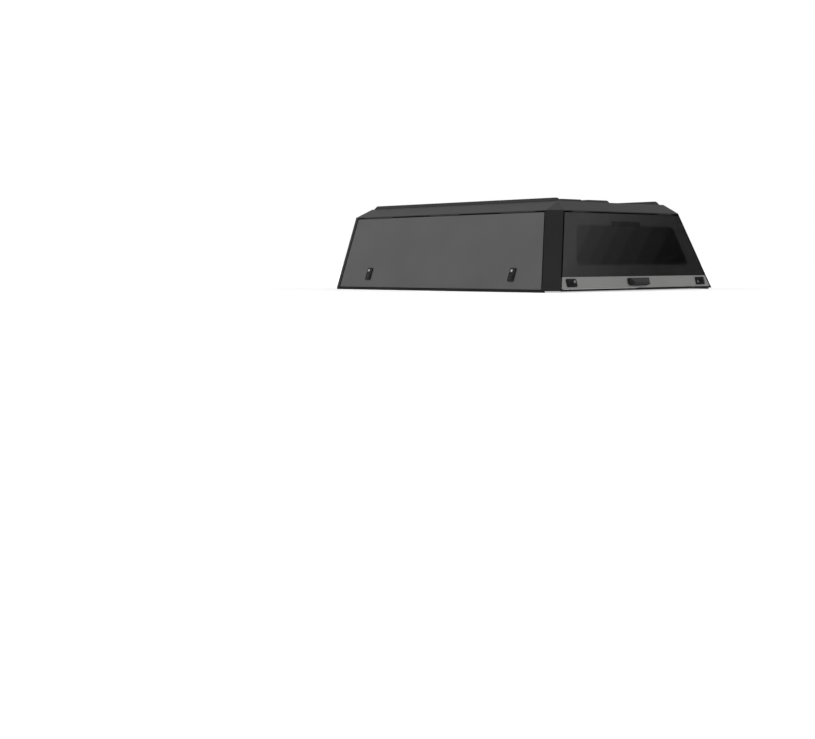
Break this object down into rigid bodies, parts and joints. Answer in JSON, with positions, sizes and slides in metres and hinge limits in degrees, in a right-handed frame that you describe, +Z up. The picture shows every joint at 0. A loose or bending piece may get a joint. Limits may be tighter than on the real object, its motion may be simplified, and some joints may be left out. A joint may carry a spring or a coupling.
{
  "type": "pickup truck canopy",
  "caption": "Folded steel pickup bed canopy with a faceted roof, lift-up side doors with flush latches and a frameless lift-up glass hatch.",
  "frame": {"origin": "centre of the outer bolt rectangle, on the underside of the base flanges", "axes": "+X to the right of the vehicle, +Y towards the cab, +Z up"},
  "size_m": [1.74, 2.1816, 0.624],
  "materials": {
    "frame_paint": "fine-textured powder coat, dark grey",
    "panel_paint": "fine-textured powder coat, mid grey",
    "strip_paint": "fine-textured powder coat, light grey",
    "black_plastic": "moulded, black",
    "lock_chrome": "polished",
    "striker_steel": "zinc plated",
    "hinge_steel": "black",
    "hatch_frame": "black anodised",
    "seal_rubber": "matt black",
    "hatch_glass": "dark tinted safety glass with a printed black border",
    "window_glass": "lightly tinted safety glass",
    "lamp_lens": "dark red lens"
  },
  "bodies": {
    "canopy": {"base_seal_left": "seal_rubber", "base_seal_right": "seal_rubber", "base_seal_front": "seal_rubber", "left_base_rail": "frame_paint", "right_base_rail": "frame_paint", "front_sill": "frame_paint", "left_front_post": "frame_paint", "right_front_post": "frame_paint", "left_rear_pillar": "frame_paint", "right_rear_pillar": "frame_paint", "left_header": "frame_paint", "right_header": "frame_paint", "rear_header": "frame_paint", "front_panel": "frame_paint", "front_window_gasket": "seal_rubber", "front_window_glass": "window_glass", "roof_panel": "frame_paint", "roof_bows": "frame_paint", "left_door_seal": "seal_rubber", "right_door_seal": "seal_rubber", "hatch_seal": "seal_rubber", "left_hinge_fixed_leaves": "hinge_steel", "right_hinge_fixed_leaves": "hinge_steel", "hatch_hinge_fixed_leaves": "hinge_steel", "left_door_strikers": "striker_steel", "right_door_strikers": "striker_steel", "hatch_strikers": "striker_steel", "right_door_skin": "panel_paint", "right_door_frame": "frame_paint", "right_door_latches": "black_plastic", "right_door_locks": "lock_chrome", "right_hinge_leaves": "hinge_steel"},
    "left_door": {"left_door_skin": "panel_paint", "left_door_frame": "frame_paint", "left_door_latches": "black_plastic", "left_door_locks": "lock_chrome", "left_hinge_leaves": "hinge_steel"},
    "hatch": {"hatch_glass": "hatch_glass", "hatch_frame": "hatch_frame", "hatch_strip": "strip_paint", "hatch_latches": "black_plastic", "hatch_locks": "lock_chrome", "hatch_handle": "black_plastic", "hatch_brake_light": "lamp_lens", "hatch_hinge_leaves": "hinge_steel"}
  },
  "joints": [
    {"name": "left_door_hinge", "type": "hinge", "parent": "canopy", "child": "left_door", "pos_m": [-0.68156, 0, 0.51078], "axis": [0, 1, 0], "range_deg": [0, 85]},
    {"name": "hatch_hinge", "type": "hinge", "parent": "canopy", "child": "hatch", "pos_m": [0, -0.93115, 0.51068], "axis": [-1, 0, 0], "range_deg": [0, 80]}
  ]
}
